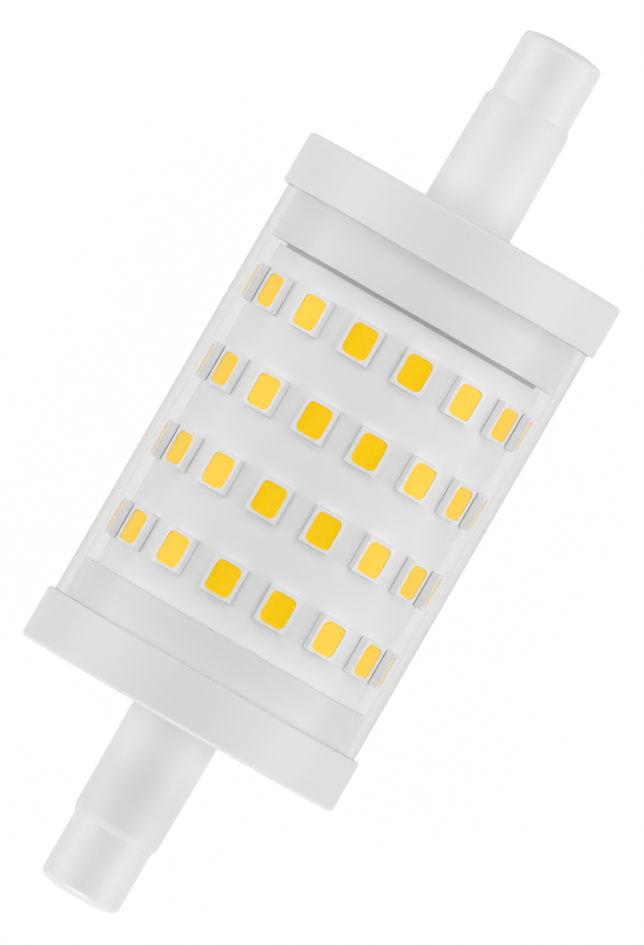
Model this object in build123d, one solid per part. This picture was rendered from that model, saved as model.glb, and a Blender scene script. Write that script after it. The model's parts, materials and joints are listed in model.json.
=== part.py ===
from build123d import *
import os
from math import sqrt

# Double-ended linear LED lamp for a holder with two sprung contacts.
# The lamp lies along X with its upper end at +X, and the front of its LED drum faces +Z.
# Lengths are in millimetres, and the origin is the middle of the lamp.

# Whole lamp
LENGTH = 78.0               # over the two tips
CONTACT_SPACING = 74.9      # between the two contact faces

# Clear cover tube
COVER_DIAMETER = 27.4
COVER_WALL = 0.75
COVER_LENGTH = 37.1         # between the two caps
COVER_FIT = 0.1             # radial clearance to the collars inside it

# End caps
CAP_LIP = 0.5               # how far the disc stands out from the cover
CAP_THICKNESS = 4.5
CAP_OUTER_EDGE = 0.25       # chamfers
CAP_INNER_EDGE = 0.15
COLLAR_EDGE = 0.2
NECK_EDGE = 0.3
UPPER_COLLAR = 4.15         # length that shows through the cover
LOWER_COLLAR = 3.4
NECK_STEP = 0.32            # neck over the tip, in radius

# Contact sleeves, the tips that enter the holder
TIP_DIAMETER = 6.95
TIP_LENGTH = 5.85
TIP_DOME = 12.5             # radius of the domed end
TIP_EDGE = 0.25             # chamfer
STEM_SHOULDER = 0.9
STEM_LENGTH = 6.0
STEM_FIT = 0.05
RECESS_DIAMETER = 3.0

# Contacts
CONTACT_DIAMETER = 2.2
CONTACT_FIT = 0.05
CONTACT_PROUD = 1.0         # length past the sleeve's stem

# Core tube and the board wrapped round it
CORE_WALL = 1.0
CORE_FIT = 0.1
BOARD_THICKNESS = 0.55
BOARD_UPPER_GAP = 0.32      # to the upper collar; the board sits on the lower one
BOARD_SEAM = 0.4

# LED array
LED_COLUMNS = 16
LED_RINGS = 4
UPPER_RING_MARGIN = 3.63    # from the board's edge to the nearest ring
LOWER_RING_MARGIN = 3.99
LED_LENGTH = 3.15
LED_WIDTH = 2.7
LED_HEIGHT = 0.62
LED_CLEARANCE = 0.35        # from the housings' corners to the cover
WINDOW_LENGTH = 2.68
WINDOW_WIDTH = 2.2
WINDOW_DEPTH = 0.4
PHOSPHOR_DROP = 0.1         # surface of the fill below the rim

# Driver board
DRIVER_THICKNESS = 1.0
DRIVER_FIT = 0.05           # from its long edges to the core's bore
DRIVER_END_GAP = 0.15

# Lead wires and feed pins
LEAD_DIAMETER = 1.2
LEAD_LAP = 3.0              # length soldered along the driver board
PIN_SIDE = 0.64             # square section
PIN_SPACING = 2.54
PIN_INSET = 1.05            # from the LED board's upper edge
PIN_PROUD = 0.35
PIN_FIT = 0.1

# Driver components
ROW_OFFSET = 3.6            # of the two rows on the upper face, from the middle
ROW_START = 4.6             # from the driver board's lower end
ROW_GAP = 1.2
INPUT_CAP_DIAMETER = 6.3
INPUT_CAP_LENGTH = 11.0
OUTPUT_CAP_DIAMETER = 5.0
OUTPUT_CAP_LENGTH = 8.0
INDUCTOR_LENGTH = 6.0
INDUCTOR_WIDTH = 5.4
INDUCTOR_HEIGHT = 5.0
INDUCTOR_FLANGE = 1.0
INDUCTOR_WAIST = 0.7
RESISTOR_DIAMETER = 2.8
RESISTOR_LENGTH = 6.0
VARISTOR_DIAMETER = 5.4
VARISTOR_THICKNESS = 2.6
CHOKE_DIAMETER = 4.4
CHOKE_HEIGHT = 4.6
RECTIFIER_SIZE = (4.7, 3.8, 1.6)
CHIP_SIZE = (4.9, 3.9, 1.5)
DIODE_SIZE = (4.3, 2.6, 2.1)
LEG_LENGTH = 0.9            # reach of a leg from a package's side
LEG_WIDTH = 0.45
LEG_THICKNESS = 0.25

# Radii, from the cover inwards
cover_r = COVER_DIAMETER / 2
cover_bore_r = cover_r - COVER_WALL
cap_r = cover_r + CAP_LIP
collar_r = cover_bore_r - COVER_FIT
led_top = sqrt((cover_bore_r - LED_CLEARANCE) ** 2 - (LED_WIDTH / 2) ** 2)
led_base = led_top - LED_HEIGHT
board_r = led_base
core_r = board_r - BOARD_THICKNESS
core_bore_r = core_r - CORE_WALL
collar_bore_r = core_r + CORE_FIT
tip_r = TIP_DIAMETER / 2
neck_r = tip_r + NECK_STEP
stem_r = tip_r - STEM_SHOULDER
neck_bore_r = stem_r + STEM_FIT
recess_r = RECESS_DIAMETER / 2
contact_r = CONTACT_DIAMETER / 2
lead_r = LEAD_DIAMETER / 2

# Places along the axis, from the middle outwards
cap_inner = COVER_LENGTH / 2
cap_outer = cap_inner + CAP_THICKNESS
tip_end = LENGTH / 2
neck_end = tip_end - TIP_LENGTH
stem_end = neck_end - STEM_LENGTH
contact_face = CONTACT_SPACING / 2
contact_root = stem_end - CONTACT_PROUD
board_upper = cap_inner - UPPER_COLLAR - BOARD_UPPER_GAP
board_lower = -cap_inner + LOWER_COLLAR
ring_upper = board_upper - UPPER_RING_MARGIN
ring_lower = board_lower + LOWER_RING_MARGIN
ring_pitch = (ring_upper - ring_lower) / (LED_RINGS - 1)
column_pitch = 360 / LED_COLUMNS

# Driver board
driver_top = -lead_r
driver_bottom = driver_top - DRIVER_THICKNESS
driver_half_width = sqrt(core_bore_r ** 2 - driver_bottom ** 2) - DRIVER_FIT
driver_end = cap_inner - DRIVER_END_GAP
pin_x = board_upper - PIN_INSET

ON_FACE = (Align.CENTER, Align.CENTER, Align.MIN)
UNDER_FACE = (Align.CENTER, Align.CENTER, Align.MAX)
nodes = {}


def turned(outline, chamfers=()):
    """Turn an outline in (x, radius) about the lamp's axis, after chamfering the corners nearest to given points."""
    for x, radius, length in chamfers:
        corner = outline.vertices().sort_by_distance((x, radius))[0]
        outline = chamfer(corner, length)
    return revolve(outline, Axis.X)


def polygon(*points):
    return make_face(Polyline(*points, close=True))


def tube(start, end, inner_r, outer_r):
    return turned(polygon((start, inner_r), (end, inner_r), (end, outer_r), (start, outer_r)))


def rod(start, end, radius):
    return Pos(X=start) * Rot(Y=90) * Cylinder(radius, end - start, align=ON_FACE)


def to_lower_end(part):
    return mirror(part, about=Plane.YZ)


# End caps: neck, disc and collar under the cover, in one moulding
def end_cap(collar_length):
    collar_end = cap_inner - collar_length
    section = polygon(
        (collar_end, collar_bore_r),
        (cap_inner, collar_bore_r),
        (cap_inner, neck_bore_r),
        (neck_end, neck_bore_r),
        (neck_end, neck_r),
        (cap_outer, neck_r),
        (cap_outer, cap_r),
        (cap_inner, cap_r),
        (cap_inner, collar_r),
        (collar_end, collar_r),
    )
    chamfers = [
        (neck_end, neck_r, NECK_EDGE),
        (cap_outer, cap_r, CAP_OUTER_EDGE),
        (cap_inner, cap_r, CAP_INNER_EDGE),
        (collar_end, collar_r, COLLAR_EDGE),
    ]
    return turned(section, chamfers)


nodes["upper_end_cap"] = end_cap(UPPER_COLLAR)
nodes["lower_end_cap"] = to_lower_end(end_cap(LOWER_COLLAR))


# Contact sleeves: domed tip with a recess in its end, on a stem in the neck
def contact_sleeve():
    dome_centre = tip_end - sqrt(TIP_DOME ** 2 - recess_r ** 2)
    dome_mid_r = (recess_r + tip_r) / 2
    dome_mid = (dome_centre + sqrt(TIP_DOME ** 2 - dome_mid_r ** 2), dome_mid_r)
    dome_rim = (dome_centre + sqrt(TIP_DOME ** 2 - tip_r ** 2), tip_r)
    mouth = (tip_end, recess_r)
    walls = Polyline(
        dome_rim,
        (neck_end, tip_r),
        (neck_end, stem_r),
        (stem_end, stem_r),
        (stem_end, contact_r + CONTACT_FIT),
        (contact_face, contact_r + CONTACT_FIT),
        (contact_face, recess_r),
        mouth,
    )
    dome = ThreePointArc(mouth, dome_mid, dome_rim)
    return turned(make_face(walls + dome), [(*dome_rim, TIP_EDGE)])


nodes["upper_contact_sleeve"] = contact_sleeve()
nodes["lower_contact_sleeve"] = to_lower_end(contact_sleeve())

# Contacts, each a pin through its sleeve with its face flush with the recess's floor
upper_contact = rod(contact_root, contact_face, contact_r)
nodes["upper_contact"] = upper_contact
nodes["lower_contact"] = to_lower_end(upper_contact)

# Lead wires, from each contact to the driver board's upper face
upper_lead = rod(driver_end - LEAD_LAP, contact_root, lead_r)
nodes["upper_lead_wire"] = upper_lead
nodes["lower_lead_wire"] = to_lower_end(upper_lead)

# Cover tube, held between the caps' discs
nodes["cover_tube"] = tube(-cap_inner, cap_inner, cover_bore_r, cover_r)

# Feed pins, from the driver board through core and LED board to the LED board's face
def feed_pins(side, start, end):
    """Square bars through the back, between two distances from the axis."""
    bar = Box(side, side, end - start, align=UNDER_FACE)
    return [Pos(pin_x, place * PIN_SPACING / 2, -start) * bar for place in (-1, 1)]


nodes["feed_pins"] = Compound(children=feed_pins(PIN_SIDE, -driver_bottom, board_r + PIN_PROUD))

# Core tube and LED board, with holes for the feed pins; the board's seam is at the back
pin_holes = feed_pins(PIN_SIDE + 2 * PIN_FIT, 0, cover_r)
seam = Pos(X=board_lower) * Box(
    board_upper - board_lower, BOARD_SEAM, cover_r, align=(Align.MIN, Align.CENTER, Align.MAX)
)
nodes["core_tube"] = tube(-cap_inner, cap_inner, core_bore_r, core_r) - pin_holes
nodes["led_board"] = tube(board_lower, board_upper, core_r, board_r) - pin_holes - seam


# LED array: housing with a window and its phosphor fill, repeated in rings
def window(depth):
    return Pos(Z=led_top - WINDOW_DEPTH) * Box(WINDOW_LENGTH, WINDOW_WIDTH, depth, align=ON_FACE)


def led_housing():
    shell = Pos(Z=led_base) * Box(LED_LENGTH, LED_WIDTH, LED_HEIGHT, align=ON_FACE)
    return shell - window(WINDOW_DEPTH)


def led_phosphor():
    return window(WINDOW_DEPTH - PHOSPHOR_DROP)


def ring_of(piece, x):
    """Copies of a piece at one ring, in every column; the front lies between two columns."""
    angles = [(column + 0.5) * column_pitch for column in range(LED_COLUMNS)]
    return Compound(children=[Rot(X=angle) * Pos(X=x) * piece for angle in angles])


for ring in range(LED_RINGS):
    ring_x = ring_lower + ring * ring_pitch
    nodes[f"led_housings_ring_{ring + 1}"] = ring_of(led_housing(), ring_x)
    nodes[f"led_phosphors_ring_{ring + 1}"] = ring_of(led_phosphor(), ring_x)

# Driver board, its long edges in the core's bore
nodes["driver_board"] = Pos(Z=driver_top) * Box(
    2 * driver_end, 2 * driver_half_width, DRIVER_THICKNESS, align=UNDER_FACE
)


# Driver components, each drawn from its lower end at x = 0 and standing on z = 0
def lying_drum(diameter, length):
    """Round body lying on its side: a capacitor's can, a resistor or a varistor's disc."""
    return Pos(Z=diameter / 2) * rod(0, length, diameter / 2)


def standing_drum(diameter, height):
    return Pos(X=diameter / 2) * Cylinder(diameter / 2, height, align=ON_FACE)


def inductor():
    """Ferrite block with its winding between two flanges."""
    flange = Box(INDUCTOR_LENGTH, INDUCTOR_WIDTH, INDUCTOR_FLANGE, align=ON_FACE)
    winding = Box(
        INDUCTOR_LENGTH - 2 * INDUCTOR_WAIST,
        INDUCTOR_WIDTH - 2 * INDUCTOR_WAIST,
        INDUCTOR_HEIGHT,
        align=ON_FACE,
    )
    block = winding + flange + Pos(Z=INDUCTOR_HEIGHT - INDUCTOR_FLANGE) * flange
    return Pos(X=INDUCTOR_LENGTH / 2) * block


def package(size, legs_per_side):
    """Flat moulded package under the board, with legs along two sides that reach the board's face."""
    length, width, height = size
    body = Box(length, width, height, align=UNDER_FACE)
    pitch = length / legs_per_side
    for leg in range(legs_per_side):
        x = (leg + 0.5) * pitch - length / 2
        body += Pos(X=x) * Box(LEG_WIDTH, width + 2 * LEG_LENGTH, LEG_THICKNESS, align=UNDER_FACE)
    return Pos(X=length / 2) * body


def lay_row(row, y, level):
    """Place components one after another along the driver board."""
    x = -driver_end + ROW_START
    for name, component, length in row:
        nodes[name] = Pos(x, y, level) * component
        x += length + ROW_GAP


line_row = [
    ("fusible_resistor", lying_drum(RESISTOR_DIAMETER, RESISTOR_LENGTH), RESISTOR_LENGTH),
    ("varistor", lying_drum(VARISTOR_DIAMETER, VARISTOR_THICKNESS), VARISTOR_THICKNESS),
    ("filter_choke", standing_drum(CHOKE_DIAMETER, CHOKE_HEIGHT), CHOKE_DIAMETER),
    ("output_capacitor", lying_drum(OUTPUT_CAP_DIAMETER, OUTPUT_CAP_LENGTH), OUTPUT_CAP_LENGTH),
]
power_row = [
    ("input_capacitor", lying_drum(INPUT_CAP_DIAMETER, INPUT_CAP_LENGTH), INPUT_CAP_LENGTH),
    ("power_inductor", inductor(), INDUCTOR_LENGTH),
]
lower_row = [
    ("bridge_rectifier", package(RECTIFIER_SIZE, 2), RECTIFIER_SIZE[0]),
    ("driver_chip", package(CHIP_SIZE, 4), CHIP_SIZE[0]),
    ("freewheel_diode", package(DIODE_SIZE, 1), DIODE_SIZE[0]),
]
lay_row(line_row, -ROW_OFFSET, driver_top)
lay_row(power_row, ROW_OFFSET, driver_top)
lay_row(lower_row, 0, driver_bottom)

os.makedirs("parts", exist_ok=True)
for name, part in nodes.items():
    export_step(part, f"parts/{name}.step")
print(len(nodes), "nodes written")
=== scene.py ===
# %% [markdown]
# A double-ended linear LED lamp, 78 mm over its two tips.
# The CAD model gives every piece its size and place, and this lesson gives the pieces that show their
# rounded edges, their finish and their light.
# The lamp lies along X, and the front of its LED drum faces +Z, where the camera is.

# %% Load the CAD model
import json
import math

import bmesh
import bpy
from mathutils import Matrix, Vector


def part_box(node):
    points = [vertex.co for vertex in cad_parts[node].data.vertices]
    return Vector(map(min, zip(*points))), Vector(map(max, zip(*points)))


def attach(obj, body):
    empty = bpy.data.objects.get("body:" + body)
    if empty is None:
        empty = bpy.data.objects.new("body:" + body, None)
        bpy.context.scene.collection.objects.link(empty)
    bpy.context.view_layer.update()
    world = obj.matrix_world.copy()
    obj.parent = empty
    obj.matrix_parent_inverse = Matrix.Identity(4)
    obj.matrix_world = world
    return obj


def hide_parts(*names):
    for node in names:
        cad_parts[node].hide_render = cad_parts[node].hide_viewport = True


MM = 0.001
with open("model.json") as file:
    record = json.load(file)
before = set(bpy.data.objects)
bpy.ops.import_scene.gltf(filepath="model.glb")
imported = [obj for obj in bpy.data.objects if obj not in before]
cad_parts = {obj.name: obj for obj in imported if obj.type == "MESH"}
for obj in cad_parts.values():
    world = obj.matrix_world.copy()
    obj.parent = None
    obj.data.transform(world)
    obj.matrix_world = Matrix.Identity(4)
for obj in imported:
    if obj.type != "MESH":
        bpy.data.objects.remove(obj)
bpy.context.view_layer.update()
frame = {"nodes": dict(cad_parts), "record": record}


# %% [markdown]
# Blender works in metres and the lamp was drawn in millimetres, so one small function reads a CAD node's
# reach back in millimetres.
# It saves writing a size twice: when the CAD model changes, the pieces here follow it.

# %% Read sizes back from the CAD nodes
def reach(node):
    """Start and end along the axis, and radius, of a CAD node in millimetres."""
    low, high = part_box(node)
    return low.x / MM, high.x / MM, max(high.y, high.z) / MM


upper_collar_end, neck_end, cap_r = reach("upper_end_cap")
lower_collar_end = -reach("lower_end_cap")[1]
stem_end, tip_end, tip_r = reach("upper_contact_sleeve")
contact_root, contact_face, contact_r = reach("upper_contact")
cover_start, cover_end, cover_r = reach("cover_tube")
core_r = reach("core_tube")[2]
board_lower, board_upper, board_r = reach("led_board")
print("cap radius", round(cap_r, 3), "cover radius", round(cover_r, 3), "board radius", round(board_r, 3))


# %% [markdown]
# Every material is built from nodes.
# Colours are written as sRGB hex values, the way a colour picker shows them, and one function turns them to
# the linear values that the shaders mix.
# A second function adds a node, fills its inputs and links it, so that each material reads as a short list.

# %% Colour and node helpers
def linear(hex_colour):
    """Linear red, green, blue and alpha of an sRGB hex colour."""
    channels = [int(hex_colour[i:i + 2], 16) / 255 for i in (1, 3, 5)]
    return [c / 12.92 if c <= 0.04045 else ((c + 0.055) / 1.055) ** 2.4 for c in channels] + [1.0]


def add_node(tree, kind, inputs=None, **settings):
    """Add a node, set its own settings, and give each input a value or a link from another node's output."""
    node = tree.nodes.new(kind)
    for name, value in settings.items():
        setattr(node, name, value)
    for name, value in (inputs or {}).items():
        if isinstance(value, bpy.types.NodeSocket):
            tree.links.new(value, node.inputs[name])
        else:
            node.inputs[name].default_value = value
    return node


def start_material(name):
    """A new material with an empty tree and its output."""
    material = bpy.data.materials.new(name)
    material.use_nodes = True
    tree = material.node_tree
    tree.nodes.clear()
    return material, tree, add_node(tree, "ShaderNodeOutputMaterial")


def per_metre(size_mm):
    """Scale of a noise whose features are about this many millimetres across."""
    return 1 / (size_mm * MM)


print("linear value of a mid grey:", round(linear("#808080")[0], 3))

# %% [markdown]
# The end caps are moulded from white PBT, a polyester that stands the heat of the lamp.
# The mould is spark-eroded, which leaves a very fine grain and a soft satin sheen, and a moulding of this
# size has slow, faint changes of tone.
# The grain is about 0.05 mm on the real part, too fine to show here, so it is drawn at 0.25 mm.
# Its relief is 0.01 mm deep, and so is that of every other finish.

# %% Moulded PBT for the caps
MOULD_GRAIN = 0.25
TONE_DRIFT = 9.0
RELIEF = 0.01

cap_plastic, tree, output = start_material("moulded_white_pbt")
place = add_node(tree, "ShaderNodeTexCoord").outputs["Object"]
grain = add_node(
    tree, "ShaderNodeTexNoise",
    {"Vector": place, "Scale": per_metre(MOULD_GRAIN), "Detail": 3.0},
)
drift = add_node(
    tree, "ShaderNodeTexNoise",
    {"Vector": place, "Scale": per_metre(TONE_DRIFT), "Detail": 2.0},
)
tone = add_node(
    tree, "ShaderNodeMix",
    {"Factor": drift.outputs["Fac"], "A": linear("#EAEAEA"), "B": linear("#EFEFEF")},
    data_type="RGBA",
)
sheen = add_node(
    tree, "ShaderNodeMapRange",
    {"Value": grain.outputs["Fac"], "To Min": 0.42, "To Max": 0.52},
)
bump = add_node(
    tree, "ShaderNodeBump",
    {"Height": grain.outputs["Fac"], "Strength": 0.08, "Distance": RELIEF * MM},
)
shader = add_node(
    tree, "ShaderNodeBsdfPrincipled",
    {
        "Base Color": tone.outputs["Result"],
        "Roughness": sheen.outputs["Result"],
        "Normal": bump.outputs["Normal"],
        "IOR": 1.55,
    },
)
tree.links.new(shader.outputs["BSDF"], output.inputs["Surface"])
print("material", cap_plastic.name)

# %% [markdown]
# The tips are steatite, a white ceramic that is pressed from powder and fired.
# It insulates, and it stands the heat of the contact.
# Fired steatite is a touch colder and smoother than plastic, with tiny pits from the pressing.

# %% Fired steatite for the tips
PIT_SIZE = 0.35
SPECK_SIZE = 1.5

tip_ceramic, tree, output = start_material("fired_white_steatite")
place = add_node(tree, "ShaderNodeTexCoord").outputs["Object"]
pits = add_node(
    tree, "ShaderNodeTexVoronoi",
    {"Vector": place, "Scale": per_metre(PIT_SIZE), "Randomness": 1.0},
)
speck = add_node(
    tree, "ShaderNodeTexNoise",
    {"Vector": place, "Scale": per_metre(SPECK_SIZE), "Detail": 4.0},
)
tone = add_node(
    tree, "ShaderNodeMix",
    {"Factor": speck.outputs["Fac"], "A": linear("#EDEDED"), "B": linear("#F2F2F2")},
    data_type="RGBA",
)
bump = add_node(
    tree, "ShaderNodeBump",
    {"Height": pits.outputs["Distance"], "Strength": 0.05, "Distance": RELIEF * MM},
)
shader = add_node(
    tree, "ShaderNodeBsdfPrincipled",
    {"Base Color": tone.outputs["Result"], "Roughness": 0.4, "Normal": bump.outputs["Normal"], "IOR": 1.6},
)
tree.links.new(shader.outputs["BSDF"], output.inputs["Surface"])
print("material", tip_ceramic.name)

# %% [markdown]
# The cover is a tube of clear polycarbonate, extruded and cut to length.
# Light can hardly find its way from the tent or a lamp to the board through a surface that bends it, so the
# rays that carry light to a dull surface pass straight through with a small loss, and all others bend.
# It bends light as the plastic does, with the index 1.58, so the LEDs near the tube's sides look narrower.
# The tube in the photograph hardly mirrors anything, as if it had an anti-glare coat, so the specular tint is
# black, which leaves only what is mirrored at a flat angle.

# %% Clear polycarbonate for the cover
cover_clear, tree, output = start_material("extruded_clear_polycarbonate")
bent = add_node(
    tree, "ShaderNodeBsdfPrincipled",
    {
        "Base Color": linear("#FDFDFD"),
        "Roughness": 0.0,
        "IOR": 1.58,
        "Specular Tint": linear("#000000"),
        "Transmission Weight": 1.0,
    },
)
straight = add_node(tree, "ShaderNodeBsdfTransparent", {"Color": linear("#FDFDFD")})
path = add_node(tree, "ShaderNodeLightPath")
carries_light = add_node(
    tree, "ShaderNodeMath",
    {0: path.outputs["Is Shadow Ray"], 1: path.outputs["Is Diffuse Ray"]},
    operation="MAXIMUM",
)
through = add_node(
    tree, "ShaderNodeMixShader",
    {0: carries_light.outputs["Value"], 1: bent.outputs["BSDF"], 2: straight.outputs["BSDF"]},
)
tree.links.new(through.outputs["Shader"], output.inputs["Surface"])
print("material", cover_clear.name)

# %% [markdown]
# The LED board is a thin sheet of metal and laminate rolled round the core, coated with white solder mask.
# The mask is brushed or sprayed on and cured, so it is satin with a faint orange peel.

# %% White solder mask for the LED board
PEEL_SIZE = 0.6
CLOUD_SIZE = 6.0

board_white, tree, output = start_material("white_solder_mask")
place = add_node(tree, "ShaderNodeTexCoord").outputs["Object"]
peel = add_node(
    tree, "ShaderNodeTexNoise",
    {"Vector": place, "Scale": per_metre(PEEL_SIZE), "Detail": 2.0},
)
cloud = add_node(
    tree, "ShaderNodeTexNoise",
    {"Vector": place, "Scale": per_metre(CLOUD_SIZE), "Detail": 2.0},
)
tone = add_node(
    tree, "ShaderNodeMix",
    {"Factor": cloud.outputs["Fac"], "A": linear("#F3F3F3"), "B": linear("#F7F7F7")},
    data_type="RGBA",
)
bump = add_node(
    tree, "ShaderNodeBump",
    {"Height": peel.outputs["Fac"], "Strength": 0.06, "Distance": RELIEF * MM},
)
shader = add_node(
    tree, "ShaderNodeBsdfPrincipled",
    {
        "Base Color": tone.outputs["Result"],
        "Roughness": 0.45,
        "Normal": bump.outputs["Normal"],
        "IOR": 1.5,
        "Specular IOR Level": 0.1,
    },
)
tree.links.new(shader.outputs["BSDF"], output.inputs["Surface"])
print("material", board_white.name)

# %% [markdown]
# Each LED's housing is moulded from a very white, hard plastic that throws the light out of its window.
# The window is filled with clear silicone full of yellow phosphor grains.
# Phosphor drinks blue light and gives it back as yellow, so in daylight it looks brighter than paint of its
# colour: a weak painted glow of the same yellow stands for that, and it brightens the fills the same under
# any lamp.
# The silicone's surface is smooth, so the LEDs that face the bright sides of the tent look paler.

# %% White package plastic and phosphor for the LEDs
MOTTLE_SIZE = 0.8
PHOSPHOR_GRAIN = 0.15

led_white, tree, output = start_material("moulded_white_led_package")
place = add_node(tree, "ShaderNodeTexCoord").outputs["Object"]
mottle = add_node(
    tree, "ShaderNodeTexNoise",
    {"Vector": place, "Scale": per_metre(MOTTLE_SIZE), "Detail": 2.0},
)
tone = add_node(
    tree, "ShaderNodeMix",
    {"Factor": mottle.outputs["Fac"], "A": linear("#F5F5F5"), "B": linear("#FAFAFA")},
    data_type="RGBA",
)
shader = add_node(
    tree, "ShaderNodeBsdfPrincipled",
    {"Base Color": tone.outputs["Result"], "Roughness": 0.35, "IOR": 1.5},
)
tree.links.new(shader.outputs["BSDF"], output.inputs["Surface"])

phosphor, tree, output = start_material("yellow_phosphor_with_painted_glow")
place = add_node(tree, "ShaderNodeTexCoord").outputs["Object"]
grains = add_node(
    tree, "ShaderNodeTexNoise",
    {"Vector": place, "Scale": per_metre(PHOSPHOR_GRAIN), "Detail": 2.0},
)
tone = add_node(
    tree, "ShaderNodeMix",
    {"Factor": grains.outputs["Fac"], "A": linear("#F5C400"), "B": linear("#F8CC06")},
    data_type="RGBA",
)
# The emission below is a painted glow: the fills shine by this fixed amount whatever light falls on them.
shader = add_node(
    tree, "ShaderNodeBsdfPrincipled",
    {
        "Base Color": tone.outputs["Result"],
        "Roughness": 0.12,
        "IOR": 1.41,
        "Emission Color": linear("#F5C300"),
        "Emission Strength": 0.275,
    },
)
tree.links.new(shader.outputs["BSDF"], output.inputs["Surface"])
print("materials", led_white.name, phosphor.name)

# %% [markdown]
# The contacts are brass pins plated with nickel, turned on a lathe, so their faces have fine rings.
# The feed pins are brass with a coat of tin, which is duller.
# A metal takes its colour from its reflections, so only its tint, its roughness and its rings are set.
# A wave texture repeats every tau / 20 of its scaled coordinate, which turns the rings' spacing to a scale.

# %% Nickel and tin for the contacts and pins
RING_SPACING = 0.12
WAVE_PERIOD = math.tau / 20
CONTACT_WEAR = 0.5
PIN_WEAR = 0.3

contact_metal, tree, output = start_material("nickel_plated_turned_brass")
place = add_node(tree, "ShaderNodeTexCoord").outputs["Object"]
rings = add_node(
    tree, "ShaderNodeTexWave",
    {"Vector": place, "Scale": WAVE_PERIOD * per_metre(RING_SPACING), "Distortion": 0.2},
    wave_type="RINGS",
    rings_direction="X",
)
wear = add_node(
    tree, "ShaderNodeTexNoise",
    {"Vector": place, "Scale": per_metre(CONTACT_WEAR), "Detail": 4.0},
)
dullness = add_node(
    tree, "ShaderNodeMapRange",
    {"Value": wear.outputs["Fac"], "To Min": 0.2, "To Max": 0.38},
)
bump = add_node(
    tree, "ShaderNodeBump",
    {"Height": rings.outputs["Fac"], "Strength": 0.15, "Distance": RELIEF * MM},
)
shader = add_node(
    tree, "ShaderNodeBsdfPrincipled",
    {
        "Base Color": linear("#CFCBC3"),
        "Metallic": 1.0,
        "Roughness": dullness.outputs["Result"],
        "Normal": bump.outputs["Normal"],
    },
)
tree.links.new(shader.outputs["BSDF"], output.inputs["Surface"])

pin_metal, tree, output = start_material("tinned_brass_and_solder")
place = add_node(tree, "ShaderNodeTexCoord").outputs["Object"]
wear = add_node(
    tree, "ShaderNodeTexNoise",
    {"Vector": place, "Scale": per_metre(PIN_WEAR), "Detail": 3.0},
)
dullness = add_node(
    tree, "ShaderNodeMapRange",
    {"Value": wear.outputs["Fac"], "To Min": 0.25, "To Max": 0.5},
)
shader = add_node(
    tree, "ShaderNodeBsdfPrincipled",
    {"Base Color": linear("#C9CACB"), "Metallic": 1.0, "Roughness": dullness.outputs["Result"]},
)
tree.links.new(shader.outputs["BSDF"], output.inputs["Surface"])
print("materials", contact_metal.name, pin_metal.name)

# %% [markdown]
# The pieces inside the core can't be seen once the lamp is closed, but a cut-away or an exploded view shows
# them, so each keeps its CAD shape and gets a finish of its own.
# They are all dull moulded or coated surfaces that differ in colour, in gloss and in the size of their
# mottling, so one loop makes them from a table of name, pale and deep colour, roughness and mottling in mm.

# %% Finishes for the pieces inside the core
INNER_FINISHES = {
    "core_ceramic": ("fired_white_alumina", "#E4E4E2", "#DADAD8", 0.55, 1.2),
    "driver_laminate": ("green_glass_fibre_laminate", "#2F6B43", "#245536", 0.45, 0.7),
    "lead_insulation": ("white_silicone_insulation", "#E9E9E6", "#DFDFDC", 0.6, 1.0),
    "resistor_coat": ("flameproof_grey_green_coat", "#8FA39D", "#7F938D", 0.65, 0.4),
    "varistor_coat": ("blue_epoxy_coat", "#2F4F9A", "#284384", 0.3, 0.8),
    "ferrite": ("sintered_ferrite", "#4A4A4D", "#3A3A3D", 0.7, 0.3),
    "can_film": ("dark_film_on_aluminium_can", "#2A2D33", "#23262B", 0.28, 2.0),
    "package_black": ("moulded_black_epoxy", "#2B2B2B", "#222222", 0.55, 0.25),
}

inner_materials = {}
for slot, (name, pale, deep, roughness, mottling) in INNER_FINISHES.items():
    material, tree, output = start_material(name)
    place = add_node(tree, "ShaderNodeTexCoord").outputs["Object"]
    mottle = add_node(
        tree, "ShaderNodeTexNoise",
        {"Vector": place, "Scale": per_metre(mottling), "Detail": 4.0},
    )
    tone = add_node(
        tree, "ShaderNodeMix",
        {"Factor": mottle.outputs["Fac"], "A": linear(deep), "B": linear(pale)},
        data_type="RGBA",
    )
    bump = add_node(
        tree, "ShaderNodeBump",
        {"Height": mottle.outputs["Fac"], "Strength": 0.1, "Distance": RELIEF * MM},
    )
    shader = add_node(
        tree, "ShaderNodeBsdfPrincipled",
        {"Base Color": tone.outputs["Result"], "Roughness": roughness, "Normal": bump.outputs["Normal"]},
    )
    tree.links.new(shader.outputs["BSDF"], output.inputs["Surface"])
    inner_materials[slot] = material

for entry in frame["record"]["subparts"]:
    if entry["material_slot"] in inner_materials:
        node = frame["nodes"][entry["node"]]
        node.data.materials.clear()
        node.data.materials.append(inner_materials[entry["material_slot"]])
print("finishes inside the core:", len(inner_materials))


# %% [markdown]
# Most of what shows on this lamp is round about one axis, so it is turned, as on a lathe.
# A few corner points make a profile, the bevel operator rounds its corners, and the spin operator sweeps it
# round the X axis.
# Rounding the profile before the spin keeps every rounding even, and it costs far fewer steps than bevelling
# the finished body.

# %% Turning helpers
TURN_STEPS = 192
ROUND_STEPS = 5
WELD = 1e-7
SHARP_ANGLE = math.radians(35)


def draw_profile(bm, corners, closed=True):
    """Join corners (x, radius, rounding), in millimetres, by straight edges and round those that ask."""
    points = [bm.verts.new((x * MM, 0, radius * MM)) for x, radius, rounding in corners]
    ends = points[1:] + points[:1] if closed else points[1:]
    for start, end in zip(points, ends):
        bm.edges.new((start, end))
    for point, (x, radius, rounding) in zip(points, corners):
        if rounding:
            bmesh.ops.bevel(
                bm, geom=[point], affect="VERTICES", offset=rounding * MM, offset_type="OFFSET",
                segments=ROUND_STEPS, profile=0.5, material=-1,
            )


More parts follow.
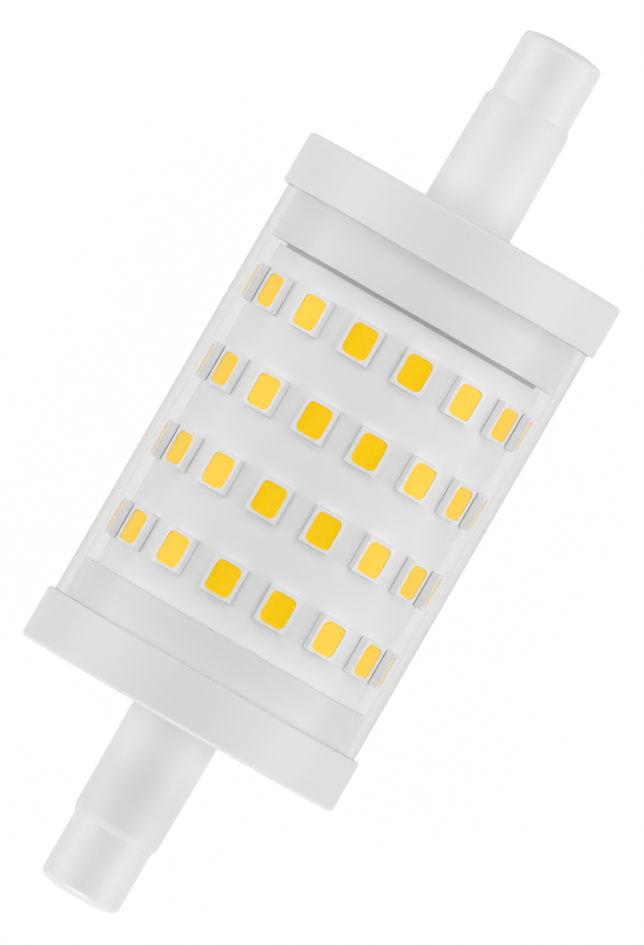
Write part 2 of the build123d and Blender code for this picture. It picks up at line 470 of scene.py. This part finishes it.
def turn(bm, angle=math.tau, start_angle=0.0):
    """Sweep the whole profile about the lamp's axis and weld it where it meets itself."""
    if start_angle:
        bmesh.ops.rotate(
            bm, verts=bm.verts[:], cent=(0, 0, 0), matrix=Matrix.Rotation(start_angle, 3, "X")
        )
    bmesh.ops.spin(
        bm, geom=bm.verts[:] + bm.edges[:], cent=(0, 0, 0), axis=(1, 0, 0), angle=angle,
        steps=TURN_STEPS, use_merge=angle == math.tau,
    )
    bmesh.ops.remove_doubles(bm, verts=bm.verts[:], dist=WELD)


def finish_piece(bm, name, material, slot, *nodes):
    """Turn the faces outwards and make an object that stands for these CAD nodes and rides on the lamp."""
    bmesh.ops.recalc_face_normals(bm, faces=bm.faces[:])
    mesh = bpy.data.meshes.new(name)
    bm.to_mesh(mesh)
    bm.free()
    mesh.shade_smooth()
    mesh.set_sharp_from_angle(angle=SHARP_ANGLE)
    mesh.materials.append(material)
    piece = bpy.data.objects.new(name, mesh)
    bpy.context.scene.collection.objects.link(piece)
    piece.modifiers.new("even_shading", "WEIGHTED_NORMAL").keep_sharp = True
    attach(piece, "root")
    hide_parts(*nodes)
    print(name, "has", len(mesh.polygons), "faces")


print("profiles are turned in", TURN_STEPS, "steps")


# %% [markdown]
# Each end cap is one moulding: a slim neck, a flat disc, and a collar that fits inside the cover.
# The neck grows a little towards the disc, because a moulding needs a draft to leave its mould, and it ends
# in a soft shoulder that runs down to the tip.
# The lower cap is the same turned part the other way round, with a shorter collar.

# %% End caps
CAP_THICKNESS = 4.5
COLLAR_R = 12.85
COLLAR_BORE_R = 11.43
NECK_END_R = 3.755
NECK_FOOT_R = 3.845
NECK_BORE_R = 2.625
SHOULDER_LENGTH = 0.5
SHOULDER_ROUND = 0.25
FOOT_ROUND = 0.3
OUTER_ROUND = 0.36
INNER_ROUND = 0.22
COLLAR_ROUND = 0.08
cap_inner = cover_end
cap_outer = cap_inner + CAP_THICKNESS


def end_cap(name, collar_end, side):
    """One whole moulding, for the upper end where side is 1 and for the lower where it is -1."""
    bm = bmesh.new()
    corners = [
        (collar_end, COLLAR_BORE_R, 0),
        (cap_inner, COLLAR_BORE_R, 0),
        (cap_inner, NECK_BORE_R, 0),
        (neck_end, NECK_BORE_R, 0),
        (neck_end, tip_r, 0),
        (neck_end - SHOULDER_LENGTH, NECK_END_R, SHOULDER_ROUND),
        (cap_outer, NECK_FOOT_R, FOOT_ROUND),
        (cap_outer, cap_r, OUTER_ROUND),
        (cap_inner, cap_r, INNER_ROUND),
        (cap_inner, COLLAR_R, 0),
        (collar_end, COLLAR_R, COLLAR_ROUND),
    ]
    draw_profile(bm, [(side * x, radius, rounding) for x, radius, rounding in corners])
    turn(bm)
    finish_piece(bm, name + "_moulding", cap_plastic, "cap_plastic", name)


end_cap("upper_end_cap", upper_collar_end, 1)
end_cap("lower_end_cap", lower_collar_end, -1)


# %% [markdown]
# The tips carry the contacts into the holder, and each has a domed end with a recess.
# A straight profile can't give the dome, so one vertex is spun about the dome's own centre first, which draws
# the arc, and the rest of the profile follows from its ends.

# %% Tips
DOME_R = 12.5
DOME_STEPS = 5
RECESS_R = 1.5
STEM_R = 2.575
CONTACT_BORE_R = 1.15
RIM_ROUND = 0.4
MOUTH_ROUND = 0.12


def contact_tip(name, side):
    """The ceramic sleeve of one end, with its dome, its recess and the stem inside the neck."""
    bm = bmesh.new()
    dome_centre = tip_end - math.sqrt(DOME_R ** 2 - RECESS_R ** 2)
    swing = math.asin(tip_r / DOME_R) - math.asin(RECESS_R / DOME_R)
    rim_x = dome_centre + math.sqrt(DOME_R ** 2 - tip_r ** 2)
    mouth = bm.verts.new((side * tip_end * MM, 0, RECESS_R * MM))
    bmesh.ops.spin(
        bm, geom=[mouth], cent=(side * dome_centre * MM, 0, 0), axis=(0, 1, 0), angle=-side * swing,
        steps=DOME_STEPS,
    )
    corners = [
        (rim_x, tip_r, 0),
        (neck_end, tip_r, 0),
        (neck_end, STEM_R, 0),
        (stem_end, STEM_R, 0),
        (stem_end, CONTACT_BORE_R, 0),
        (contact_face, CONTACT_BORE_R, 0),
        (contact_face, RECESS_R, 0),
        (tip_end, RECESS_R, 0),
    ]
    draw_profile(bm, [(side * x, radius, rounding) for x, radius, rounding in corners], closed=False)
    bmesh.ops.remove_doubles(bm, verts=bm.verts[:], dist=WELD)
    for x, radius, rounding in [(rim_x, tip_r, RIM_ROUND), (tip_end, RECESS_R, MOUTH_ROUND)]:
        corner = min(bm.verts, key=lambda v: (v.co - Vector((side * x * MM, 0, radius * MM))).length)
        bmesh.ops.bevel(
            bm, geom=[corner], affect="VERTICES", offset=rounding * MM, offset_type="OFFSET",
            segments=ROUND_STEPS, profile=0.5, material=-1,
        )
    turn(bm)
    finish_piece(bm, name + "_tip", tip_ceramic, "tip_ceramic", name)


contact_tip("upper_contact_sleeve", 1)
contact_tip("lower_contact_sleeve", -1)


# %% [markdown]
# A contact is a turned pin in the tip's bore, and its face lies at the recess's floor.
# A cylinder would do, but a turned profile gives the rounded edge in the same step.
# The pin is solid, so its profile starts and ends on the axis.

# %% Contacts
CONTACT_ROUND = 0.2


def contact_pin(name, side):
    """The contact of one end."""
    bm = bmesh.new()
    corners = [
        (contact_root, 0, 0),
        (contact_root, contact_r, 0),
        (contact_face, contact_r, CONTACT_ROUND),
        (contact_face, 0, 0),
    ]
    draw_profile(bm, [(side * x, radius, rounding) for x, radius, rounding in corners], closed=False)
    turn(bm)
    finish_piece(bm, name + "_pin", contact_metal, "contact_metal", name)


contact_pin("upper_contact", 1)
contact_pin("lower_contact", -1)

# %% [markdown]
# The cover is a plain tube, cut square.
# It is the one piece that is looked through, so both of its walls are smooth and its ends stay a hair short
# of the caps, which keeps two surfaces from lying in the same place.

# %% Cover tube
COVER_BORE_R = 12.95
END_RELIEF = 0.005
CUT_ROUND = 0.03

bm = bmesh.new()
draw_profile(bm, [
    (cover_start + END_RELIEF, COVER_BORE_R, CUT_ROUND),
    (cover_end - END_RELIEF, COVER_BORE_R, CUT_ROUND),
    (cover_end - END_RELIEF, cover_r, CUT_ROUND),
    (cover_start + END_RELIEF, cover_r, CUT_ROUND),
])
turn(bm)
finish_piece(bm, "clear_cover", cover_clear, "cover_clear", "cover_tube")

# %% [markdown]
# The LED board is a sheet rolled round the core, so its two edges meet in a narrow seam at the back.
# It stands on the lower cap's collar, and only a hair of rounding shows there, while its upper edge is free.
# The spin operator sweeps its section almost all the way round, and the two open ends are then filled.

# %% LED board
SEAM = 0.4
UPPER_EDGE_ROUND = 0.06
LOWER_EDGE_ROUND = 0.02
seam_angle = SEAM / board_r

bm = bmesh.new()
draw_profile(bm, [
    (board_lower, core_r, 0),
    (board_upper, core_r, 0),
    (board_upper, board_r, UPPER_EDGE_ROUND),
    (board_lower, board_r, LOWER_EDGE_ROUND),
])
turn(bm, math.tau - seam_angle, math.pi + seam_angle / 2)
open_edges = [edge for edge in bm.edges if edge.is_boundary]
bmesh.ops.holes_fill(bm, edges=open_edges, sides=0)
finish_piece(bm, "rolled_led_board", board_white, "board_white", "led_board")


# %% [markdown]
# An LED is a small white box with a rounded window full of phosphor.
# Two rounded rectangles are drawn first, the housing's outline and the window's, and bridged into the rim.
# The outer loop is then pulled down into the walls and the inner one into the pocket.
# One LED is made at the top of the drum, and the spin operator copies it round the drum in equal steps.

# %% LED helpers
LED_COLUMNS = 16
CORNER_STEPS = 2
column_pitch = math.tau / LED_COLUMNS


def rounded_rectangle(bm, length, width, height, corner):
    """The edges of a rectangle with rounded corners, in millimetres, at a height above the lamp's axis."""
    known = set(bm.edges)
    made = bmesh.ops.create_grid(bm, x_segments=1, y_segments=1, size=0.5)["verts"]
    bmesh.ops.scale(bm, vec=(length * MM, width * MM, 1), verts=made)
    bmesh.ops.translate(bm, vec=(0, 0, height * MM), verts=made)
    bmesh.ops.bevel(
        bm, geom=made, affect="VERTICES", offset=corner * MM, offset_type="OFFSET",
        segments=CORNER_STEPS, profile=0.5, material=-1,
    )
    return [edge for edge in bm.edges if edge not in known]


def pull_down(bm, loop, depth):
    """Extrude a loop of edges towards the axis and close its far end."""
    made = bmesh.ops.extrude_edge_only(bm, edges=loop)["geom"]
    far_points = [part for part in made if isinstance(part, bmesh.types.BMVert)]
    bmesh.ops.translate(bm, vec=(0, 0, -depth * MM), verts=far_points)
    far_loop = [part for part in made if isinstance(part, bmesh.types.BMEdge)]
    bmesh.ops.edgeloop_fill(bm, edges=[edge for edge in far_loop if set(edge.verts) <= set(far_points)])


def place_ring(bm, ring):
    """Copy the LED piece round the drum, half a step off the front, and slide it to its ring."""
    low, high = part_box(f"led_housings_ring_{ring}")
    half_step = Matrix.Rotation(column_pitch / 2, 3, "X")
    bmesh.ops.rotate(bm, verts=bm.verts[:], cent=(0, 0, 0), matrix=half_step)
    bmesh.ops.translate(bm, vec=((low.x + high.x) / 2, 0, 0), verts=bm.verts[:])
    bmesh.ops.spin(
        bm, geom=bm.verts[:] + bm.edges[:] + bm.faces[:], cent=(0, 0, 0), axis=(1, 0, 0),
        angle=column_pitch * (LED_COLUMNS - 1), steps=LED_COLUMNS - 1, use_duplicate=True,
    )


print("LEDs every", round(math.degrees(column_pitch), 1), "degrees")

# %% [markdown]
# The housing's rim has a tiny rounding where the mould opens, which catches the light as a fine bright line.
# The bevel operator rounds only the outer loop, after the walls are pulled down, so that the window's edge
# stays crisp.

# %% LED housings
LED_LENGTH = 3.15
LED_WIDTH = 2.7
LED_HEIGHT = 0.62
WINDOW_LENGTH = 2.68
WINDOW_WIDTH = 2.2
WINDOW_DEPTH = 0.4
HOUSING_CORNER = 0.07
WINDOW_CORNER = 0.46
RIM_EDGE = 0.025
RIM_STEPS = 2
led_top = board_r + LED_HEIGHT


def led_housings(ring):
    """All the white boxes of one ring."""
    bm = bmesh.new()
    outline = rounded_rectangle(bm, LED_LENGTH, LED_WIDTH, led_top, HOUSING_CORNER)
    window = rounded_rectangle(bm, WINDOW_LENGTH, WINDOW_WIDTH, led_top, WINDOW_CORNER)
    bmesh.ops.delete(bm, geom=bm.faces[:], context="FACES_ONLY")
    bmesh.ops.bridge_loops(bm, edges=outline + window)
    pull_down(bm, outline, LED_HEIGHT)
    pull_down(bm, window, WINDOW_DEPTH)
    bmesh.ops.bevel(
        bm, geom=outline, affect="EDGES", offset=RIM_EDGE * MM, offset_type="OFFSET",
        segments=RIM_STEPS, profile=0.5, material=-1, clamp_overlap=True,
    )
    place_ring(bm, ring)
    finish_piece(bm, f"led_packages_ring_{ring}", led_white, "led_white", f"led_housings_ring_{ring}")


print("LED tops lie", round(led_top, 3), "mm from the axis")


# %% [markdown]
# The phosphor's surface lies a little below the rim and sags in the middle, because silicone climbs the
# pocket's walls before it cures.
# Each ring of the drum then gets its housings and its fills.

# %% Phosphor fills and the rings of the drum
LED_RINGS = 4
FILL_GAP = 0.01
FILL_DROP = 0.1
SAG = 0.05
SAG_INSET = 0.35


def led_fills(ring):
    """All the phosphor fills of one ring."""
    bm = bmesh.new()
    length = WINDOW_LENGTH - 2 * FILL_GAP
    width = WINDOW_WIDTH - 2 * FILL_GAP
    outline = rounded_rectangle(bm, length, width, led_top - FILL_DROP, WINDOW_CORNER)
    surface = bm.faces[:]
    pull_down(bm, outline, WINDOW_DEPTH - FILL_DROP - FILL_GAP)
    bmesh.ops.inset_region(bm, faces=surface, thickness=SAG_INSET * MM, use_even_offset=True)
    sunk = {vert for face in surface for vert in face.verts}
    bmesh.ops.translate(bm, vec=(0, 0, -SAG * MM), verts=list(sunk))
    place_ring(bm, ring)
    finish_piece(bm, f"led_fills_ring_{ring}", phosphor, "phosphor", f"led_phosphors_ring_{ring}")


for ring in range(1, LED_RINGS + 1):
    led_housings(ring)
    led_fills(ring)

# %% [markdown]
# Two square pins feed the board from the driver inside the core.
# They come out at the back, and each is soldered to the board, so a small hollow cone of solder climbs it.
# The cone is spun about the pin from a short hollow profile, given as radius and rise in millimetres.

# %% Feed pins and their solder
PIN_SIDE = 0.64
PIN_TAPER = 0.14
PIN_TAPER_STEPS = 2
JOINT_R = 0.85
JOINT_SINK = 0.2
JOINT_STEPS = 32
JOINT_PROFILE = [(JOINT_R, -JOINT_SINK), (JOINT_R - 0.02, 0.03), (0.56, 0.1), (0.4, 0.22), (0.3, 0.3)]
pin_low, pin_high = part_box("feed_pins")
pin_x = (pin_low.x + pin_high.x) / 2
pin_length = pin_high.z - pin_low.z

bm = bmesh.new()
for pin_y in (pin_low.y + PIN_SIDE * MM / 2, pin_high.y - PIN_SIDE * MM / 2):
    shank = bmesh.ops.create_cube(bm, size=1)["verts"]
    bmesh.ops.scale(bm, vec=(PIN_SIDE * MM, PIN_SIDE * MM, pin_length), verts=shank)
    bmesh.ops.translate(bm, vec=(pin_x, pin_y, (pin_low.z + pin_high.z) / 2), verts=shank)
    sides = {face for vert in shank for face in vert.link_faces}
    tip_face = min(sides, key=lambda face: face.calc_center_median().z)
    bmesh.ops.bevel(
        bm, geom=list(tip_face.edges), affect="EDGES", offset=PIN_TAPER * MM, offset_type="OFFSET",
        segments=PIN_TAPER_STEPS, profile=0.5, material=-1,
    )
    level = -math.sqrt((board_r * MM) ** 2 - pin_y ** 2)
    points = [bm.verts.new((pin_x + radius * MM, pin_y, level - rise * MM)) for radius, rise in JOINT_PROFILE]
    edges = [bm.edges.new(pair) for pair in zip(points, points[1:])]
    bmesh.ops.spin(
        bm, geom=points + edges, cent=(pin_x, pin_y, 0), axis=(0, 0, 1), angle=math.tau,
        steps=JOINT_STEPS, use_merge=True,
    )
bmesh.ops.remove_doubles(bm, verts=bm.verts[:], dist=WELD)
bmesh.ops.holes_fill(bm, edges=[edge for edge in bm.edges if edge.is_boundary], sides=0)
finish_piece(bm, "soldered_feed_pins", pin_metal, "pin_metal", "feed_pins")

# %% [markdown]
# The camera looks straight down on the lamp, which lies turned by 60 degrees in the picture.
# The photograph shows no perspective, so the camera stands far away with a very long lens.
# The distance follows from the picture's scale, 12.59 pixels for each millimetre, and the two shifts, in
# pixels, put the lamp where it lies in the photograph.

# %% Camera
PICTURE_HEIGHT = 945
PIXELS_PER_MM = 12.59
SENSOR = 36.0
LENS = 1000.0
TURN_IN_PICTURE = math.radians(-60)
SHIFT_RIGHT = 0.7
SHIFT_UP = -0.6
CLIP_START = 0.1

camera_data = bpy.data.cameras.new("photo_camera")
camera_data.sensor_width = SENSOR
camera_data.lens = LENS
distance = PICTURE_HEIGHT / PIXELS_PER_MM * MM / SENSOR * LENS
camera_data.clip_start = CLIP_START
camera_data.clip_end = 2 * distance
camera = bpy.data.objects.new("photo_camera", camera_data)
bpy.context.scene.collection.objects.link(camera)
right = Vector((math.cos(TURN_IN_PICTURE), math.sin(TURN_IN_PICTURE), 0))
up = Vector((-right.y, right.x, 0))
aim = (right * SHIFT_RIGHT + up * SHIFT_UP) / PIXELS_PER_MM * MM
camera.location = aim + Vector((0, 0, distance))
camera.rotation_euler = (0, 0, TURN_IN_PICTURE)
bpy.context.scene.camera = camera
print("camera", round(distance, 3), "m above the lamp")

# %% [markdown]
# The studio is a white light tent with a dark opening over the lamp, where the camera is.
# Two ramps shape its light, one by height and one along the lamp, into a hoop that stands square across it.
# A stop of a ramp is a pair: where a ray points, from -1 to 1, and the share of the light there.
# The hoop is brightest low at the two long sides, which models the round caps, and it is bright again
# beside the opening, from where light falls between the columns of LEDs.

# %% Light tent's ramps
TENT_LEVEL = 6.5
TENT_BY_HEIGHT = [
    (-0.5, 0.0), (0.0, 1.0), (0.25, 0.5), (0.5, 0.31), (0.7, 0.295), (0.85, 0.69), (0.97, 0.0),
]
TENT_ALONG_LAMP = [
    (-1.0, 0.08), (-0.35, 0.12), (-0.14, 0.7), (0.0, 1.0), (0.14, 0.6), (0.35, 0.05), (1.0, 0.05),
]


def ramp(tree, value, stops):
    """A grey that follows a value between -1 and 1 through the given stops."""
    share = add_node(tree, "ShaderNodeMapRange", {"Value": value, "From Min": -1.0, "From Max": 1.0})
    node = add_node(tree, "ShaderNodeValToRGB", {"Fac": share.outputs["Result"]})
    node.color_ramp.interpolation = "LINEAR"
    elements = node.color_ramp.elements
    while len(elements) < len(stops):
        elements.new(0.5)
    for element, (position, level) in zip(elements, stops):
        element.position = (position + 1) / 2
        element.color = (level, level, level, 1)
    return node.outputs["Color"]


print("the tent has", len(TENT_BY_HEIGHT) + len(TENT_ALONG_LAMP), "stops")

# %% [markdown]
# Gloss would mirror such a hoop as hard stripes, so mirrored and bent rays see a dimmer and more even hoop
# with a wider opening: the LEDs at the front show their full colour and those at the sides a soft veil.

# %% Light tent
MIRRORED_LEVEL = 2.4
MIRRORED_BY_HEIGHT = [(0.0, 0.8), (0.4, 1.0), (0.56, 1.0), (0.83, 0.0)]
MIRRORED_ALONG_LAMP = [(-1.0, 0.3), (-0.35, 0.5), (-0.1, 1.0), (0.1, 1.0), (0.35, 0.5), (1.0, 0.3)]

world = bpy.data.worlds.new("light_tent")
bpy.context.scene.world = world
world.use_nodes = True
tree = world.node_tree
tree.nodes.clear()
direction = add_node(tree, "ShaderNodeTexCoord").outputs["Generated"]
towards = add_node(tree, "ShaderNodeSeparateXYZ", {"Vector": direction})


def hoop(level, by_height, along_lamp):
    """A background whose level follows the height and the place along the lamp."""
    shine = add_node(
        tree, "ShaderNodeMix",
        {
            "Factor": 1.0,
            "A": ramp(tree, towards.outputs["Z"], by_height),
            "B": ramp(tree, towards.outputs["X"], along_lamp),
        },
        data_type="RGBA",
        blend_type="MULTIPLY",
    )
    background = add_node(tree, "ShaderNodeBackground", {"Color": shine.outputs["Result"], "Strength": level})
    return background.outputs["Background"]


path = add_node(tree, "ShaderNodeLightPath")
by_glass = add_node(
    tree, "ShaderNodeMath",
    {0: path.outputs["Is Glossy Ray"], 1: path.outputs["Is Transmission Ray"]},
    operation="MAXIMUM",
)
seen_tent = add_node(
    tree, "ShaderNodeMixShader",
    {
        0: by_glass.outputs["Value"],
        1: hoop(TENT_LEVEL, TENT_BY_HEIGHT, TENT_ALONG_LAMP),
        2: hoop(MIRRORED_LEVEL, MIRRORED_BY_HEIGHT, MIRRORED_ALONG_LAMP),
    },
)
add_node(tree, "ShaderNodeOutputWorld", {"Surface": seen_tent.outputs["Shader"]})
print("tent level", TENT_LEVEL, "and mirrored", MIRRORED_LEVEL)

# %% [markdown]
# The floor is white paper, and the camera sees it as plain white, with a small share of its own shading, so
# that a trace of the lamp's shadow stays.
# The tube mirrors and bends the same paper at a slightly lower level, as paper looks before a background is
# bleached out, and that gives the tube its pale grey rim.

# %% Floor
FLOOR_SIDE = 3.0
FLOOR_WHITE_SHARE = 0.985
FLOOR_IN_GLASS = 0.8

floor_white, tree, output = start_material("white_paper_floor")
paper = add_node(tree, "ShaderNodeBsdfDiffuse", {"Color": linear("#F4F4F4")})
path = add_node(tree, "ShaderNodeLightPath")
by_glass = add_node(
    tree, "ShaderNodeMath",
    {0: path.outputs["Is Glossy Ray"], 1: path.outputs["Is Transmission Ray"]},
    operation="MAXIMUM",
)
white_level = add_node(
    tree, "ShaderNodeMapRange",
    {"Value": by_glass.outputs["Value"], "To Min": 1.0, "To Max": FLOOR_IN_GLASS},
)
white = add_node(
    tree, "ShaderNodeEmission",
    {"Color": linear("#FFFFFF"), "Strength": white_level.outputs["Result"]},
)
seen = add_node(
    tree, "ShaderNodeMath",
    {0: path.outputs["Is Camera Ray"], 1: by_glass.outputs["Value"]},
    operation="MAXIMUM",
)
share = add_node(
    tree, "ShaderNodeMath",
    {0: seen.outputs["Value"], 1: FLOOR_WHITE_SHARE},
    operation="MULTIPLY",
)
mixed = add_node(
    tree, "ShaderNodeMixShader",
    {0: share.outputs["Value"], 1: paper.outputs["BSDF"], 2: white.outputs["Emission"]},
)
tree.links.new(mixed.outputs["Shader"], output.inputs["Surface"])

bm = bmesh.new()
corners = bmesh.ops.create_grid(bm, x_segments=1, y_segments=1, size=FLOOR_SIDE / 2)["verts"]
bmesh.ops.translate(bm, vec=(0, 0, -cap_r * MM), verts=corners)
floor_mesh = bpy.data.meshes.new("floor")
bm.to_mesh(floor_mesh)
bm.free()
floor_mesh.materials.append(floor_white)
floor = bpy.data.objects.new("floor", floor_mesh)
bpy.context.scene.collection.objects.link(floor)
print("floor", round(-cap_r, 2), "mm below the lamp's axis")

# %% [markdown]
# Two soft lamps hang beyond the upper end, one on each side, where the tube can't mirror them to the camera.
# They give every LED a soft shadow on its lower side, and the right one is a little stronger.
# The lower disc keeps their light from the neck behind it, so a small lamp stands low beyond the lower end
# and lights the disc's face, which throws the light back onto the neck.
# A lamp's row gives its place in metres, its side in metres and its power in watts.

# %% Lamps
LAMPS = {
    "left_key": (Vector((0.36, 0.2, 0.4)), 0.3, 0.44),
    "right_key": (Vector((0.36, -0.2, 0.4)), 0.3, 0.6),
    "end_fill": (Vector((-0.5, 0.0, 0.02)), 0.1, 1.0),
}

for name, (spot, side, power) in LAMPS.items():
    lamp_data = bpy.data.lights.new(name, "AREA")
    lamp_data.shape = "SQUARE"
    lamp_data.size = side
    lamp_data.energy = power
    lamp = bpy.data.objects.new(name, lamp_data)
    lamp.location = spot
    lamp.rotation_euler = (-spot).to_track_quat("-Z", "Y").to_euler()
    bpy.context.scene.collection.objects.link(lamp)
    print(name, round(spot.length, 2), "m away")

# %% [markdown]
# The colours are meant to show as they are written, so the picture uses the plain Standard view.

# %% Colour view
bpy.context.scene.view_settings.view_transform = "Standard"
